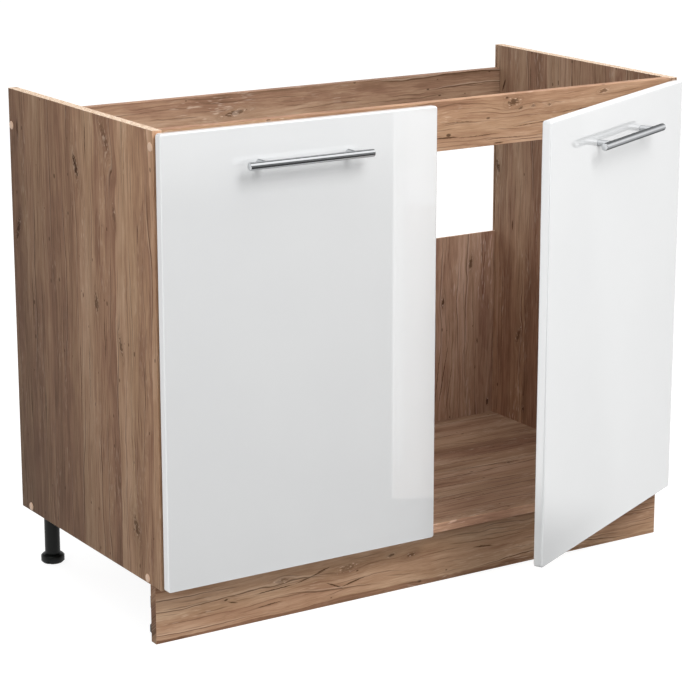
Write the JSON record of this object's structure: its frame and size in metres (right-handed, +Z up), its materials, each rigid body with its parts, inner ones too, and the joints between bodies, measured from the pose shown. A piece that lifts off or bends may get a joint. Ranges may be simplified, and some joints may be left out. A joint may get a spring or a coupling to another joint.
{
  "type": "sink base cabinet",
  "caption": "Sink base cabinet with gloss doors on concealed hinges, bar handles, an open top, a half-height back, a clip-on plinth and adjustable feet.",
  "frame": {"origin": "on the floor, at the centre of the outline of the cabinet as it stands, with the left door closed and the right door ajar", "axes": "+Z up, +X along the front to the right as seen from the front, +Y to the rear, towards the wall"},
  "size_m": [1.0024, 0.7348, 0.816],
  "materials": {
    "oak_decor": "matt oak decor on chipboard, with grain, cracks and knots",
    "white_gloss": "high-gloss white film over fibreboard",
    "chrome": "polished",
    "nickel_steel": "satin nickel plate",
    "zinc_steel": "zinc plate",
    "black_plastic": "moulded, slightly satin",
    "beige_plastic": "moulded, satin",
    "clear_rubber": "soft and pale"
  },
  "bodies": {
    "carcass": {"side_panel_left": "oak_decor", "side_panel_right": "oak_decor", "bottom_panel": "oak_decor", "front_rail": "oak_decor", "rear_rail": "oak_decor", "back_panel": "oak_decor", "screw_front_rail_left": "zinc_steel", "screw_rear_rail_left": "zinc_steel", "screw_floor_front_left": "zinc_steel", "screw_floor_rear_left": "zinc_steel", "screw_front_rail_right": "zinc_steel", "screw_rear_rail_right": "zinc_steel", "screw_floor_front_right": "zinc_steel", "screw_floor_rear_right": "zinc_steel", "cap_front_rail_left": "beige_plastic", "cap_rear_rail_left": "beige_plastic", "cap_floor_front_left": "beige_plastic", "cap_floor_rear_left": "beige_plastic", "cap_front_rail_right": "beige_plastic", "cap_rear_rail_right": "beige_plastic", "cap_floor_front_right": "beige_plastic", "cap_floor_rear_right": "beige_plastic", "hinge_plate_lower_left": "nickel_steel", "hinge_plate_upper_left": "nickel_steel", "hinge_plate_lower_right": "nickel_steel", "hinge_plate_upper_right": "nickel_steel", "hinge_arm_lower_left": "nickel_steel", "hinge_arm_upper_left": "nickel_steel", "hinge_arm_lower_right": "nickel_steel", "hinge_arm_upper_right": "nickel_steel", "leg_front_left": "black_plastic", "leg_front_right": "black_plastic", "leg_rear_left": "black_plastic", "leg_rear_right": "black_plastic"},
    "door_left": {"door_left": "white_gloss", "handle_bar_left": "chrome", "handle_post_a_left": "chrome", "handle_post_b_left": "chrome", "handle_screw_a_left": "zinc_steel", "handle_screw_b_left": "zinc_steel", "hinge_cup_lower_left": "nickel_steel", "hinge_cup_upper_left": "nickel_steel", "door_buffer_left": "clear_rubber"},
    "door_right": {"door_right": "white_gloss", "handle_bar_right": "chrome", "handle_post_a_right": "chrome", "handle_post_b_right": "chrome", "handle_screw_a_right": "zinc_steel", "handle_screw_b_right": "zinc_steel", "hinge_cup_lower_right": "nickel_steel", "hinge_cup_upper_right": "nickel_steel", "door_buffer_right": "clear_rubber"},
    "plinth": {"plinth": "oak_decor", "plinth_clip_left": "black_plastic", "plinth_clip_right": "black_plastic"},
    "foot_front_left": {"foot_front_left": "black_plastic"},
    "foot_front_right": {"foot_front_right": "black_plastic"},
    "foot_rear_left": {"foot_rear_left": "black_plastic"},
    "foot_rear_right": {"foot_rear_right": "black_plastic"}
  },
  "joints": [
    {"name": "door_left_swing", "type": "hinge", "parent": "carcass", "child": "door_left", "pos_m": [-0.49, -0.14356, 0.4545], "axis": [0, 0, -1], "range_deg": [0, 105]},
    {"name": "door_right_swing", "type": "hinge", "parent": "carcass", "child": "door_right", "pos_m": [0.49, -0.14356, 0.4545], "axis": [0, 0, 1], "range_deg": [-26.5, 78.5]},
    {"name": "plinth_pull", "type": "slide", "parent": "carcass", "child": "plinth", "axis": [0, -1, 0], "range_m": [0, 0.06]},
    {"name": "foot_front_left_height", "type": "slide", "parent": "carcass", "child": "foot_front_left", "axis": [0, 0, -1], "range_m": [0, 0.025]},
    {"name": "foot_front_right_height", "type": "slide", "parent": "carcass", "child": "foot_front_right", "axis": [0, 0, -1], "range_m": [0, 0.025]},
    {"name": "foot_rear_left_height", "type": "slide", "parent": "carcass", "child": "foot_rear_left", "axis": [0, 0, -1], "range_m": [0, 0.025]},
    {"name": "foot_rear_right_height", "type": "slide", "parent": "carcass", "child": "foot_rear_right", "axis": [0, 0, -1], "range_m": [0, 0.025]}
  ]
}
